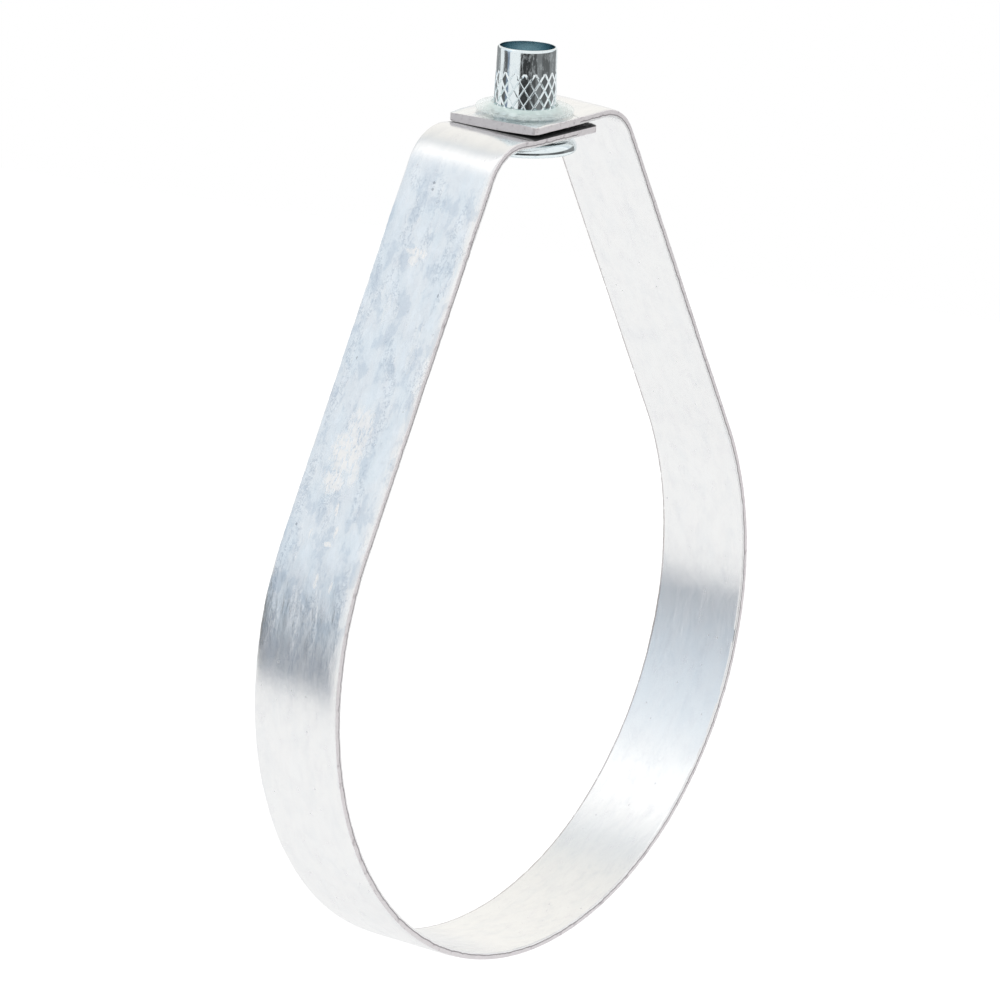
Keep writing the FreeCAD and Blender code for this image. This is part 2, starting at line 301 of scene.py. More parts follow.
class Wire:
    """A value in a node tree; its operators add the Math nodes that an expression needs."""

    def __init__(self, graph, socket):
        self.graph = graph
        self.socket = socket

    def math(self, operation, *others):
        return self.graph.node("Math", [self, *others], operation=operation)

    def __add__(self, other):
        return self.math("ADD", other)

    __radd__ = __add__

    def __sub__(self, other):
        return self.math("SUBTRACT", other)

    def __rsub__(self, other):
        return self.graph.node("Math", [other, self], operation="SUBTRACT")

    def __mul__(self, other):
        return self.math("MULTIPLY", other)

    def __truediv__(self, other):
        return self.math("DIVIDE", other)

    def between(self, low, high):
        """0 up to low, 1 from high, and a soft step between."""
        return self.graph.node(
            "MapRange", {"Value": self, "From Min": low, "From Max": high},
            interpolation_type="SMOOTHSTEP",
        )


class Graph:
    """A node tree that is being written."""

    def __init__(self, tree):
        self.tree = tree

    def node(self, kind, inputs=(), output=0, **settings):
        made = self.tree.nodes.new("ShaderNode" + kind)
        for name, value in settings.items():
            setattr(made, name, value)
        pairs = inputs.items() if isinstance(inputs, dict) else enumerate(inputs)
        for name, value in pairs:
            if isinstance(value, Wire):
                self.tree.links.new(value.socket, made.inputs[name])
            else:
                made.inputs[name].default_value = value
        return Wire(self, made.outputs[output]) if len(made.outputs) else None

    def mix(self, factor, first, second):
        """Mixes two colours; plain ones are triples."""
        first, second = (
            value if isinstance(value, Wire) else (*value, 1.0) for value in (first, second)
        )
        return self.node("Mix", {0: factor, 6: first, 7: second}, output=2, data_type="RGBA")

    def layers(self, colour, *coats):
        """Lays other colours over a colour, each as far as its factor says."""
        for factor, coat in coats:
            colour = self.mix(factor, colour, coat)
        return colour

    def ramp(self, value, stops, interpolation="LINEAR"):
        made = self.node("ValToRGB", [value])
        band = made.socket.node.color_ramp
        band.interpolation = interpolation
        while len(band.elements) < len(stops):
            band.elements.new(0.5)
        for element, (place, shade) in zip(band.elements, stops):
            element.position = place
            element.color = (*shade, 1.0)
        return made

    def stretch(self, vector, x, y, z=1.0, shift=(0, 0, 0)):
        return self.node("Mapping", {"Vector": vector, "Scale": (x, y, z), "Location": shift})

    def noise(self, vector, scales, detail, roughness, shift=(0, 0, 0)):
        """Noise with a scale for each axis."""
        stretched = self.stretch(vector, *scales, shift=shift)
        return self.node(
            "TexNoise",
            {"Vector": stretched, "Scale": 1.0, "Detail": detail, "Roughness": roughness},
        )

    def part(self, vector, index):
        return self.node("SeparateXYZ", [vector], output=index)

    def marks(self, *names):
        """What the mesh stores under each name."""
        return [self.node("Attribute", output=2, attribute_name=name) for name in names]

    def finish(self, colour, roughness, height, strength, depth, **others):
        """Ends the material with a surface whose relief is a bump of some depth."""
        bump = self.node("Bump", {"Height": height, "Strength": strength, "Distance": depth})
        shader = self.node(
            "BsdfPrincipled",
            {"Base Color": colour, "Roughness": roughness, "Normal": bump, **others},
        )
        self.node("OutputMaterial", {"Surface": shader})


def new_material(name):
    material = bpy.data.materials.new(name)
    material.use_nodes = True
    material.node_tree.nodes.clear()
    return material, Graph(material.node_tree)


# Pale rubs and dark nicks on the left leg's outer face: place along the strip and across it, half
# length, half width, and how strongly each shows. All in millimetres; the strip's own middle is
# at the bottom of the ring, and the left leg is on the negative side.
RUBS = (
    (-252.6, 1.2, 1.3, 3.6, 0.80),
    (-250.6, 1.8, 1.7, 1.6, 0.75),
    (-205.0, 0.6, 5.0, 4.2, 0.70),
    (-197.5, 2.4, 6.0, 5.4, 0.86),
    (-189.5, 3.8, 4.0, 3.6, 0.84),
    (-192.0, -2.0, 3.2, 1.8, 0.60),
    (-182.4, -0.4, 1.8, 0.6, 0.95),
    (-176.5, -2.4, 2.0, 0.55, 0.95),
    (-173.0, -1.2, 0.8, 1.5, 0.90),
    (-174.5, 5.2, 1.6, 0.5, 0.60),
    (-163.0, -1.0, 2.0, 0.6, 0.80),
    (-162.5, -6.0, 1.6, 0.5, 0.60),
    (-226.0, -7.5, 3.5, 1.2, 0.25),
    (-236.0, 5.0, 5.0, 1.0, 0.20),
)
NICKS = (
    (-271.4, 3.2, 0.45, 0.5, 1.0),
    (-269.6, 3.0, 0.4, 0.4, 1.0),
    (-222.0, 9.0, 0.5, 0.22, 1.0),
    (-243.0, -9.5, 0.6, 0.2, 1.0),
    (-176.0, 10.5, 0.4, 0.3, 1.0),
)


def spots(graph, u, v, marks, warp):
    """A mask of soft-edged oval marks with wandering outlines."""
    total = None
    for along, aside, half_length, half_width, strength in marks:
        x = (u - along * MM) / (half_length * MM)
        y = (v - aside * MM) / (half_width * MM)
        distance = x * x + y * y + warp
        mask = (1 - distance.between(0.35, 1.25)) * strength
        total = mask if total is None else total.math("MAXIMUM", mask)
    return total


def sheet_material(finish):
    """Bright rolled zinc: lengthwise streaks, faint mottling, rubs, and rough sheared edges."""
    material, graph = new_material("galvanised_strip")
    strip = graph.node("UVMap", uv_map="strip")
    u, v = graph.part(strip, 0), graph.part(strip, 1)
    place = graph.node("TexCoord", output=3)
    cut, outer, through, ends, hidden = graph.marks("cut", "outer", "through", "ends", "hidden")
    side = graph.node("CombineXYZ", [u, v, outer])

    # Rolling streaks run along the strip, and broad mottled patches lie over them. Only the left
    # leg's outer face has aged in full
    broad_streak = graph.noise(side, (12, 420), 3, 0.55)
    fine_streak = graph.noise(side, (60, 2400), 2, 0.6)
    mottle = graph.noise(side, (170, 330), 5, 0.62)
    waves = graph.noise(side, (55, 105), 3, 0.5)
    tints = graph.noise(side, (70, 150), 3, 0.55, (3.1, 1.7, 0))
    grain = graph.noise(side, (2600, 2600, 2600), 2, 0.5)
    aged = outer * (1 - u.between(-0.160, -0.130)) * u.between(-0.280, -0.267) * 0.85 + 0.15

    # What has aged carries clouded patches, and clusters of fine crackle
    bloom = graph.noise(side, (130, 210), 6, 0.62, (8.2, 0.4, 0))
    blotch = bloom.between(0.50, 0.60) * aged
    crackle = graph.noise(side, (430, 600), 5, 0.70)
    clusters = graph.noise(side, (60, 190), 3, 0.6, (0.7, 5.3, 0))
    cluster = clusters.between(0.49, 0.60) * aged
    scratch = (1 - (crackle - 0.5).math("ABSOLUTE").between(0.006, 0.036)) * cluster

    # Rubbed marks and nicks, which the outer face alone carries, and scattered dark pits
    warp = (graph.noise(side, (420, 560), 4, 0.65) - 0.5) * 2.6
    worn = graph.noise(side, (420, 1500), 4, 0.68).between(0.40, 0.53)
    rub = spots(graph, u, v, RUBS, warp) * worn * outer
    nick = spots(graph, u, v, NICKS, warp * 0.4) * outer
    pits = graph.node("TexVoronoi", {"Vector": graph.stretch(side, 1.0, 1.3), "Scale": 260.0})
    pit = (1 - pits.between(0.03, 0.13)) * waves.between(0.50, 0.58)

    # A dull, darker brownish line along the far rim of the inner face
    rim_noise = graph.noise(side, (300, 300), 3, 0.6)
    far_rim_line = v.between(12.95 * MM, 13.25 * MM) * (1 - outer) * rim_noise.between(0.30, 0.48)

    # The sheared edge: a pale torn band, a dark line, and a bright burnished band at the inner face
    torn = graph.noise(place, (1400, 1400, 1400), 4, 0.7)
    tears = graph.noise(place, (420, 420, 420), 4, 0.65)
    line_place = through + (tears - 0.5) * 0.35
    line = 1 - (line_place - 0.69).math("ABSOLUTE").between(0.03, 0.10)
    burnished = line_place.between(0.72, 0.80)
    # The cut ends are painted darker as shade, most towards the strip's inner face, which is their
    # lower side
    end_shade = through.between(0.15, 0.80) * 0.45 + 0.35
    edge = graph.layers(
        finish.cut[:],
        (torn.between(0.40, 0.62) * 0.5, (0.90, 0.875, 0.885)),
        (tears.between(0.56, 0.66) * 0.6, (0.50, 0.46, 0.48)),
        (burnished, (0.90, 0.90, 0.905)),
        (line * 0.85, (0.26, 0.235, 0.25)),
        (ends * end_shade, (0.36, 0.365, 0.38)),
    )

    # The last layer is painted shade between the overlapping tabs
    shade = graph.layers(
        finish.sheet[:],
        (tints.between(0.42, 0.62) * aged * 0.8, finish.cool[:]),
        (mottle.between(0.46, 0.70) * 0.5, finish.dull[:]),
        (blotch * 0.50, (0.60, 0.655, 0.715)),
        ((1 - bloom.between(0.38, 0.46)) * aged * 0.40, (0.93, 0.945, 0.955)),
        (scratch * 0.45, (0.36, 0.42, 0.50)),
        (rub, finish.rub[:]),
        (nick * 0.5, (0.16, 0.17, 0.20)),
        (pit * 0.30, (0.34, 0.37, 0.42)),
        (far_rim_line * 0.75, (0.50, 0.455, 0.45)),
        (cut, edge),
        (hidden * 0.96, (0.012, 0.012, 0.014)),
    )

    gloss = finish.roughness + (mottle - 0.5) * 0.14 + (fine_streak - 0.5) * 0.05
    gloss = gloss + rub * 0.25 + pit * 0.2 + hidden * 0.3
    rough_edge = 0.55 - burnished * 0.20
    roughness = (gloss * (1 - cut) + cut * rough_edge).math("MAXIMUM", 0.08)
    metal = (1 - rub * 0.45) * (1 - cut * 0.45) * (1 - hidden) * (1 - far_rim_line * 0.5)

    relief = (waves * 3.6 + mottle * 0.8) * (aged * 0.85 + 0.15) + broad_streak * 0.10
    relief = relief + fine_streak * 0.03 + grain * 0.02 + crackle * cluster * 0.5 - pit * 0.1
    height = relief * (1 - cut) + (torn * 0.5 + tears * 1.2 - line * 0.5) * cut
    graph.finish(shade, roughness, height, 1.0, 0.1 * MM, Metallic=metal)
    return material


def nut_material(finish):
    """Mirror-bright bluish zinc plating, painted darker and greener down in the bore as shade."""
    material, graph = new_material("bright_zinc")
    place = graph.node("TexCoord", output=3)
    inside, groove, hidden = graph.marks("inside", "groove", "hidden")
    mottle = graph.noise(place, (900, 900, 500), 4, 0.65)
    draw = graph.noise(place, (1800, 1800, 90), 3, 0.6)
    drips = graph.noise(place, (1500, 1500, 420), 5, 0.72)
    above_knurl = graph.part(place, 2).between(151.5 * MM, 153.5 * MM)
    smeared = drips.between(0.50, 0.60) * above_knurl
    frost = (smeared + mottle.between(0.56, 0.72) * 0.5).math("MINIMUM", 1.0) * (1 - inside)
    shade = graph.layers(
        finish.zinc[:],
        (mottle.between(0.5, 0.75) * 0.5, (0.66, 0.74, 0.80)),
        (groove * 0.6, (0.95, 0.97, 0.98)),
        # The bore is painted dark as shade
        (inside, finish.bore[:]),
        # Painted shade where the nut shows between the tabs
        (hidden * (1 - inside) * 0.96, (0.02, 0.02, 0.022)),
    )
    roughness = 0.06 + mottle.between(0.45, 0.8) * 0.08 + groove * 0.12 + inside * 0.14
    roughness = roughness + smeared * 0.12
    metal = 1 - frost * 0.22 - groove * 0.1
    height = draw * 0.6 + mottle * 0.8 + drips * 0.5
    graph.finish(shade, roughness, height, 0.3, 0.04 * MM, Metallic=metal)
    return material


def washer_material(finish):
    """Soft translucent plastic, deeper in colour where it is drawn up to the nut."""
    material, graph = new_material("soft_plastic")
    place = graph.node("TexCoord", output=3)
    (lip,) = graph.marks("lip")
    cloudy = graph.noise(place, (500, 500, 500), 3, 0.55)
    shade = graph.layers(
        finish.film[:],
        (lip, (0.75, 0.88, 0.85)),
        (cloudy.between(0.4, 0.7) * 0.4, (0.92, 0.97, 0.96)),
    )
    cover = finish.opacity + lip * 0.42 + (cloudy - 0.5) * 0.3
    graph.finish(shade, 0.22, cloudy, 0.2, 0.1 * MM, Alpha=cover)
    return material


def mark_corners(piece, **tests):
    """Stores a number between 0 and 1 on each corner of the mesh, for the material."""
    for name, value_of in tests.items():
        layer = piece.data.attributes.new(name, "FLOAT", "CORNER")
        values = []
        for face in piece.data.polygons:
            for index in face.vertices:
                values.append(value_of(piece.data.vertices[index].co, face))
        layer.data.foreach_set("value", values)


# The band


class Route:
    """The band's line in the XZ plane, measured at the strip's inner face."""

    def __init__(self, band):
        self.radius = band.ring_radius
        self.bend = band.bend_radius
        self.thickness = band.strip_thickness
        self.upper_bottom = BAND_HIGH[2] - band.strip_thickness
        self.lower_bottom = self.upper_bottom - band.tab_gap - band.strip_thickness
        self.upper_from = band.right_bend - 0.1 * MM
        self.sides = {}
        for side, x, level in (
            (-1, band.left_bend, self.lower_bottom), (1, band.right_bend, self.upper_bottom)
        ):
            rise = level - self.bend
            turn = math.acos((self.radius - self.bend) / math.hypot(x, rise))
            lean = math.atan2(rise, abs(x)) - turn
            leg = math.sqrt(x * x + rise * rise - (self.radius - self.bend) ** 2)
            self.sides[side] = {"lean": lean, "leg": leg, "centre": (x, rise)}

    def place(self, point):
        """How far along the strip a point is from the bottom of the ring, negative on the left
        side, and how high it stands above the inner face."""
        x, z = point.x, point.z
        side = -1 if x < 0 else 1
        if z > self.lower_bottom - 0.3 * MM:
            on_upper = z > self.upper_bottom - 0.4 * MM or x > self.upper_from
            side = 1 if on_upper else -1
        here = self.sides[side]
        lean = here["lean"]
        ring = self.radius * (math.pi / 2 + lean)
        angle = math.atan2(x * side, -z)
        if angle <= math.pi / 2 + lean:
            return side * self.radius * angle, math.hypot(x, z) - self.radius
        climb = z * math.cos(lean) - side * x * math.sin(lean)
        if climb <= here["leg"]:
            out = z * math.sin(lean) + side * x * math.cos(lean) - self.radius
            return side * (ring + climb), out
        dx = (x - here["centre"][0]) * side
        dz = z - here["centre"][1]
        if dx > 0:
            turned_by = math.atan2(dz, dx) - lean
            return (
                side * (ring + here["leg"] + self.bend * turned_by),
                math.hypot(dx, dz) - self.bend,
            )
        whole = self.bend * (math.pi / 2 - lean)
        return side * (ring + here["leg"] + whole - dx), dz - self.bend


# The strip's section, in millimetres: places across it, and how far the rolled-over outer face
# drops there
SECTION = (
    (13.60, 0.45), (13.42, 0.30), (12.9, 0.19), (12.2, 0.115), (11.4, 0.055), (10.5, 0.018),
    (9.4, 0.0), (4.7, 0.0), (0.0, 0.0),
)
# How deep the section's rows lie below the outer face, at the two edges and between them
EDGE_LEVELS = (0.45, 1.0, 1.6, 2.1)
MIDDLE_LEVELS = (0.0, 0.8, 1.5, 2.2)
# The far edge is rolled over less than the near one
FAR_SHARE = 0.4
STEP = 0.9 * MM
BEND_STEPS = 20


def tab_corner(radius):
    """How the section narrows towards a tab's cut end, as distances from it and width shares."""
    shares = []
    for distance in (0.0, 0.10, 0.35, 0.75, 1.0):
        back = radius - distance * radius
        inset = radius - math.sqrt(max(radius * radius - back * back, 0.0))
        shares.append((distance * radius, (HALF_WIDTH - inset) / HALF_WIDTH))
    return shares


def start_section(band, route):
    """The strip's section, standing at the lower tab's cut end."""
    drops = dict(SECTION)
    columns = sorted({-place for place in drops} | set(drops))
    top = route.lower_bottom + route.thickness
    deselect()
    bpy.ops.mesh.primitive_grid_add(
        x_subdivisions=len(EDGE_LEVELS) - 1, y_subdivisions=len(columns) - 1, size=1.0,
        rotation=(0, math.pi / 2, 0),
    )
    piece = bpy.context.object
    piece.name = "bent_strip"
    apply_transform()
    last_row = len(EDGE_LEVELS) - 1
    with Bench(piece) as bench:
        for number, column in enumerate(columns):
            old_y = number / (len(columns) - 1) - 0.5
            edge = abs(column) == SECTION[0][0]
            for row, level in enumerate(EDGE_LEVELS):
                old_z = 0.5 - row / last_row
                drop = level if edge else MIDDLE_LEVELS[row]
                if row == 0:
                    drop = drops[abs(column)] * (FAR_SHARE if column > 0 else 1.0)
                bench.pick(
                    lambda vertex: abs(vertex.co.y - old_y) < 0.001
                    and abs(vertex.co.z - old_z) < 0.001 and abs(vertex.co.x) < 0.001
                )
                bench.move(
                    x=band.lower_end, y=column * HALF_WIDTH / SECTION[0][0] - old_y,
                    z=top - drop * MM - old_z,
                )
    return piece


def advance(bench, distance, direction, steps):
    for _ in range(steps):
        bench.extrude(x=direction[0] * distance / steps, z=direction[1] * distance / steps)


def narrow(bench, ratio):
    bench.scale(1.0, ratio, 1.0, (0, 0, 0))


def bend_strip(bench, centre, angle, steps):
    bpy.ops.mesh.spin(
        steps=steps, dupli=False, angle=angle, center=(centre[0], 0, centre[1]), axis=(0, 1, 0)
    )


def make_band(band):
    """Runs the section along tab, bend, leg, ring, leg, bend and tab."""
    route = Route(band)
    piece = start_section(band, route)
    corner = tab_corner(band.corner_radius)
    left, right = route.sides[-1], route.sides[1]
    with Bench(piece) as bench:
        bench.all()
        narrow(bench, corner[0][1])
        for (d0, w0), (d1, w1) in zip(corner, corner[1:]):
            bench.extrude(x=d0 - d1)
            narrow(bench, w1 / w0)
        run = band.lower_end - corner[-1][0] - left["centre"][0]
        advance(bench, run, (-1, 0), round(run / STEP))
        bend_strip(bench, left["centre"], math.pi / 2 - left["lean"], BEND_STEPS)
        down = (-math.sin(left["lean"]), -math.cos(left["lean"]))
        advance(bench, left["leg"], down, round(left["leg"] / STEP))
        sweep = math.pi + left["lean"] + right["lean"]
        bend_strip(bench, (0, 0), sweep, round(sweep * route.radius / STEP))
        up = (-math.sin(right["lean"]), math.cos(right["lean"]))
        advance(bench, right["leg"], up, round(right["leg"] / STEP))
        bend_strip(bench, right["centre"], math.pi / 2 - right["lean"], BEND_STEPS)
        run = right["centre"][0] - band.upper_end - corner[-1][0]
        advance(bench, run, (-1, 0), round(run / STEP))
        for (d1, w1), (d0, w0) in zip(corner[::-1], corner[-2::-1]):
            bench.extrude(x=d0 - d1)
            narrow(bench, w0 / w1)
        bench.merge()
        bench.face_out()
    return piece, route


def cut_holes(piece, band, route):
    """Takes the round holes out of both tabs with one chamfered cutter."""
    radius = band.hole_radius
    chamfer = 0.25 * MM
    wide = radius + chamfer
    beyond = 4 * MM
    outline = [(0.0, route.lower_bottom - beyond), (wide, route.lower_bottom - beyond)]
    for bottom in (route.lower_bottom, route.upper_bottom):
        top = bottom + route.thickness
        outline += [
            (wide, bottom), (radius, bottom + chamfer), (radius, top - chamfer), (wide, top),
        ]
    outline += [(wide, BAND_HIGH[2] + beyond), (0.0, BAND_HIGH[2] + beyond)]
    cutter = turned("hole_cutter", outline, 96)
    apply_modifier(piece, "BOOLEAN", object=cutter, operation="DIFFERENCE", solver="EXACT")
    bpy.data.objects.remove(cutter)


def across(y):
    """0 at the strip's near edge, 1 at its far edge."""
    return clamp((y - BAND_LOW[1]) / (BAND_HIGH[1] - BAND_LOW[1]))


def bulge(y):
    """0 at both edges of the strip, and 1 along its middle."""
    return 1 - (2 * across(y) - 1) ** 2


def wear_band(piece, band, route):
    """Gives the bent strip the small faults of the real one."""
    tabs_meet = (route.upper_bottom + route.lower_bottom + route.thickness) / 2
    rim = AXIS_X - band.hole_radius - 0.6 * MM

    def at_cut(co):
        return clamp(1 - (HALF_WIDTH - abs(co.y)) / (0.3 * MM))

    def upper_sunk(co):
        """Not at the bend, and most along the far edge."""
        if co.z < tabs_meet - 0.3 * MM:
            return 0.0
        from_bend = clamp((band.right_bend - co.x) / (14 * MM))
        return from_bend * (0.35 + 0.65 * across(co.y))

    def upper_end(co):
        """How near the upper tab's cut end."""
        if co.z < tabs_meet - 0.35 * MM or co.x > rim:
            return 0.0
        return eased(rim - co.x, 0.0, rim - band.upper_end)

    def at_end(share):
        return lambda co: upper_end(co) * share(co.y)

    def burr(co):
        """The torn lower rim of the upper tab's cut end."""
        low = co.z < route.upper_bottom + 0.9 * MM
        near_end = 1 - eased(co.x, band.upper_end + 0.3 * MM, band.upper_end + 2.4 * MM)
        return near_end * bulge(co.y) if low and upper_end(co) > 0 else 0.0

    def lower_tab(co):
        if not route.lower_bottom - MM < co.z < tabs_meet or co.x > band.lower_end + MM:
            return 0.0
        return eased(co.x, band.left_bend, band.left_bend + 7 * MM)

    def lower_far_side(co):
        return lower_tab(co) * across(co.y)

    push(piece, at_cut, 0.16 * MM, "NORMAL", clouds("torn_edge", 0.0011, 3), 0.5)
    push(piece, at_cut, 0.20 * MM, "Y", clouds("wandering_edge", 0.012, 1), 0.5)
    for weight_of, amount, direction in (
        (lower_tab, -0.30, "Z"),
        (lower_far_side, -0.42, "Z"),
        (burr, -0.28, "Z"),
        (at_end(lambda y: 1 - across(y)), 0.7, "X"),
        (at_end(lambda y: 0.8 * across(y) + 0.2 * bulge(y)), -2.6, "X"),
        (at_end(lambda y: eased(across(y), 0.55, 1.0)), -0.28, "Z"),
        (at_end(bulge), -0.12, "Z"),
        (upper_sunk, -0.72, "Z"),
    ):
        push(piece, weight_of, amount * MM, direction)


def dress_band(piece, band, route):
    """Lays the strip's own map over it, and marks its faces and its cut edges."""
    mesh = piece.data
    for layer in list(mesh.uv_layers):
        mesh.uv_layers.remove(layer)
    places = [route.place(vertex.co) for vertex in mesh.vertices]
    strip = mesh.uv_layers.new(name="strip")
    values = []
    for face in mesh.polygons:
        for index in face.vertices:
            values += [places[index][0], mesh.vertices[index].co.y]
    strip.data.foreach_set("uv", values)
    heights = mesh.attributes.new("through", "FLOAT", "POINT")
    heights.data.foreach_set("value", [1 - place[1] / route.thickness for place in places])

    def cut(_, face):
        middle = face.center
        if abs(face.normal.y) > 0.6 and abs(middle.y) > HALF_WIDTH - 0.6 * MM:
            return 1.0
        in_hole = from_axis(middle) < band.hole_radius + 0.1 * MM
        if in_hole and middle.z > route.lower_bottom - MM:
            return 1.0
        on_tabs = band.upper_end - MM < middle.x < band.lower_end + MM
        if abs(face.normal.x) > 0.6 and on_tabs and middle.z > route.lower_bottom:
            return 1.0
        return 0.0

    def outer(_, face):
        middle = face.center
        if middle.z > route.lower_bottom - 2 * MM:
            return 1.0 if face.normal.z > 0 else 0.0
        inside_loop = 30 * MM
        outward = middle.x * face.normal.x + (middle.z - inside_loop) * face.normal.z
        return 1.0 if outward > 0 else 0.0

    def ends(co, face):
        return cut(co, face) if abs(face.normal.x) > 0.6 and abs(face.normal.y) < 0.6 else 0.0

    between = (route.lower_bottom + route.thickness, route.upper_bottom)

    def hidden(co, face):
        """Painted shade on the faces that meet between the tabs, behind a border that stays bright.
        """
        if not between[0] - 0.6 * MM < co.z < between[1] + 0.6 * MM or abs(face.normal.z) < 0.6:
            return 0.0
        end = band.upper_end - 2.2 * MM * across(co.y)
        front = -1.1 * MM if face.normal.z > 0 else 0.0
        return min(eased(co.x - end, front, front + 1.3 * MM), eased(band.lower_end - co.x, 0, MM))

    mark_corners(piece, cut=cut, outer=outer, ends=ends, hidden=hidden)


class OBJECT_OT_hanger_band(bpy.types.Operator):
    """Bends the strip into its loop and replaces the plain band"""

    bl_idname = "object.hanger_band"
    bl_label = "Bent band"

    def execute(self, context):
        band = context.scene.hanger_band
        piece, route = make_band(band)
        cut_holes(piece, band, route)
        dress_band(piece, band, route)
        wear_band(piece, band, route)
        smooth(piece, 32)
        piece.data.materials.append(sheet_material(band))
        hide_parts("band_loop")
        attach(piece, "band")
        return {"FINISHED"}


# The nut

NUT_SEGMENTS = 144
KNURL_ROWS = 32
THREAD_ROWS = 88
THREAD_LEVELS = 6
THREAD_DEPTH = 0.82 * MM
# How deep each row of the knurl's grooves is pressed, counted from the top, in millimetres
PRESSED = ((0, 1, 0.08), (1, 2, 0.2), (2, 3, 0.3), (3, 99, 0.38))
# The levels between which the shade between the tabs fades in and out
SHADE_IN = (135.9 * MM, 136.4 * MM)
SHADE_OUT = (140.4 * MM, 141.2 * MM)
# Which way the loose nut leans, and the level of the tabs' middle that it leans about
LEAN_WAY = (0.630, 0.776)
LEAN_LEVEL = NUT_LOW[2] + 6.6 * MM


def crest_radius(nut, level, bottom):
    """The knurl's crests: flush with the body at the knurl's top, and proud of it lower down."""
    share = clamp((nut.knurl_top - level) / (nut.knurl_top - bottom))
    return nut.body_radius + nut.knurl_height * (0.15 + 0.85 * share ** 0.6)


def nut_outline(nut):
    """The nut's closed outline, from the mouth down the outside and up the bore. The flange is
    drawn lower than the solid's, as it is seen."""
    top = NUT_HIGH[2]
    flange_bottom = NUT_LOW[2] - 1.5 * MM
    flange_top = NUT_LOW[2] + 2.0 * MM
    knurl_bottom = flange_top + 0.3 * MM
    body, mouth, thread = nut.body_radius, nut.mouth_radius, nut.thread_radius
    outline = [(mouth - 0.02 * MM, top - 0.08 * MM)]

    # The rounded mouth, the knurl's collar and the flange's rounded rim
    wide = body - mouth - 0.05 * MM
    tall = 0.85 * MM
    for out, up in arc_points((0.0, 0.0), 1.0, 90, 0, 8):
        outline.append((mouth + 0.05 * MM + wide * out, top - tall + tall * up))
    outline.append((body, top - 2.4 * MM))
    for row in range(KNURL_ROWS + 1):
        level = nut.knurl_top + (knurl_bottom - nut.knurl_top) * row / KNURL_ROWS
        outline.append((crest_radius(nut, level, knurl_bottom), level))
    rim = 1.95 * MM
    lip = 1.1 * MM
    inner_rim = nut.flange_radius - rim
    outline.append((body + nut.knurl_height + 0.15 * MM, flange_top))
    outline.append((inner_rim - 1.5 * MM, flange_top))
    tall = flange_top - flange_bottom - lip
    for out, up in arc_points((0.0, 0.0), 1.0, 90, 0, 8):
        outline.append((inner_rim + rim * out, flange_bottom + lip + tall * up))
    outline += arc_points((nut.flange_radius - lip, flange_bottom + lip), lip, 0, -90, 6)[1:]

    # The flange's underside, the bore with its thread and the wider mouth
    low = flange_bottom + 2.2 * MM
    high = top - 5.3 * MM
    outline += [
        (inner_rim - 2.0 * MM, flange_bottom + 0.3 * MM),
        (thread + 2.2 * MM, flange_bottom + 0.3 * MM),
        (thread + 1.6 * MM, flange_bottom + 0.5 * MM),
        (thread + 0.5 * MM, flange_bottom + 1.4 * MM),
    ]
    for row in range(THREAD_ROWS + 1):
        outline.append((thread, low + (high - low) * row / THREAD_ROWS))
    outline += [
        (thread + 0.4 * MM, high + 0.3 * MM),
        (mouth - 0.7 * MM, top - 4.4 * MM),
        (mouth - 0.3 * MM, top - 2.2 * MM),
        (mouth - 0.05 * MM, top - 0.8 * MM),
    ]
    return outline, (low, high), knurl_bottom


def press_knurl(piece, nut, bottom):
    """Presses both families of helical grooves into the collar, shallower at their upper end."""
    per_diamond = NUT_SEGMENTS // nut.knurl_starts
    row_height = (nut.knurl_top - bottom) / KNURL_ROWS
    column_angle = 2 * math.pi / NUT_SEGMENTS

    def on_collar(co):
        if not bottom - 0.01 * MM < co.z < nut.knurl_top + 0.01 * MM:
            return False
        crest = crest_radius(nut, co.z, bottom)
        return from_axis(co) > crest - 0.08 * MM

    def pressed(vertex, low, high):
        co = vertex.co
        if not on_collar(co):
            return False
        column = math.atan2(co.y, co.x - AXIS_X) / column_angle + 2
        row = (co.z - bottom) / row_height
        if not low - 0.2 <= KNURL_ROWS - row < high - 0.2 or row < 0.2:
            return False
        families = (round(column + row) % per_diamond, round(column - row) % per_diamond)
        return 0 in families

    with Bench(piece) as bench:
        bench.pick(lambda face: all(on_collar(vertex.co) for vertex in face.verts), "faces")
        bpy.ops.mesh.poke()
        for low, high, depth in PRESSED:
            bench.pick(lambda vertex: pressed(vertex, low, high))
            ratio = 1 - depth * MM / (nut.body_radius + nut.knurl_height)
            bench.scale(ratio, ratio, 1, (AXIS_X, 0, 0))


def cut_thread(piece, nut, span):
    """Cuts the thread: the deeper a point lies in the groove, the further it moves outwards."""
    low, high = span
    radius = nut.thread_radius
    run_out = 0.9 * MM

    def groove(co):
        turn = math.atan2(co.y, co.x - AXIS_X) / (2 * math.pi)
        phase = ((co.z - low) / nut.thread_pitch - turn) % 1.0
        wave = clamp(1.25 - abs(phase - 0.5) * 3.4)
        return wave * clamp(min(co.z - low, high - co.z) / run_out)

    def level_of(co):
        if abs(from_axis(co) - radius) > 0.02 * MM:
            return 0
        if not low - 0.01 * MM < co.z < high + 0.01 * MM:
            return 0
        return round(groove(co) * THREAD_LEVELS)

    found = [level_of(vertex.co) for vertex in piece.data.vertices]
    with Bench(piece) as bench:
        for level in range(1, THREAD_LEVELS + 1):
            bench.pick(lambda vertex: found[vertex.index] == level)
            grown = 1 + THREAD_DEPTH * level / THREAD_LEVELS / radius
            bench.scale(grown, grown, 1, (AXIS_X, 0, 0))


def lean_nut(piece, nut):
    """Leans the loose nut back in its holes, about the middle of the tabs."""
    pivot = Vector((AXIS_X, 0, LEAN_LEVEL))
    away = Vector((*LEAN_WAY, 0.0))
    turn = Matrix.Rotation(nut.lean, 4, Vector((0, 0, 1)).cross(away))
    activate(piece)
    piece.matrix_world = Matrix.Translation(pivot) @ turn @ Matrix.Translation(-pivot)
    apply_transform()


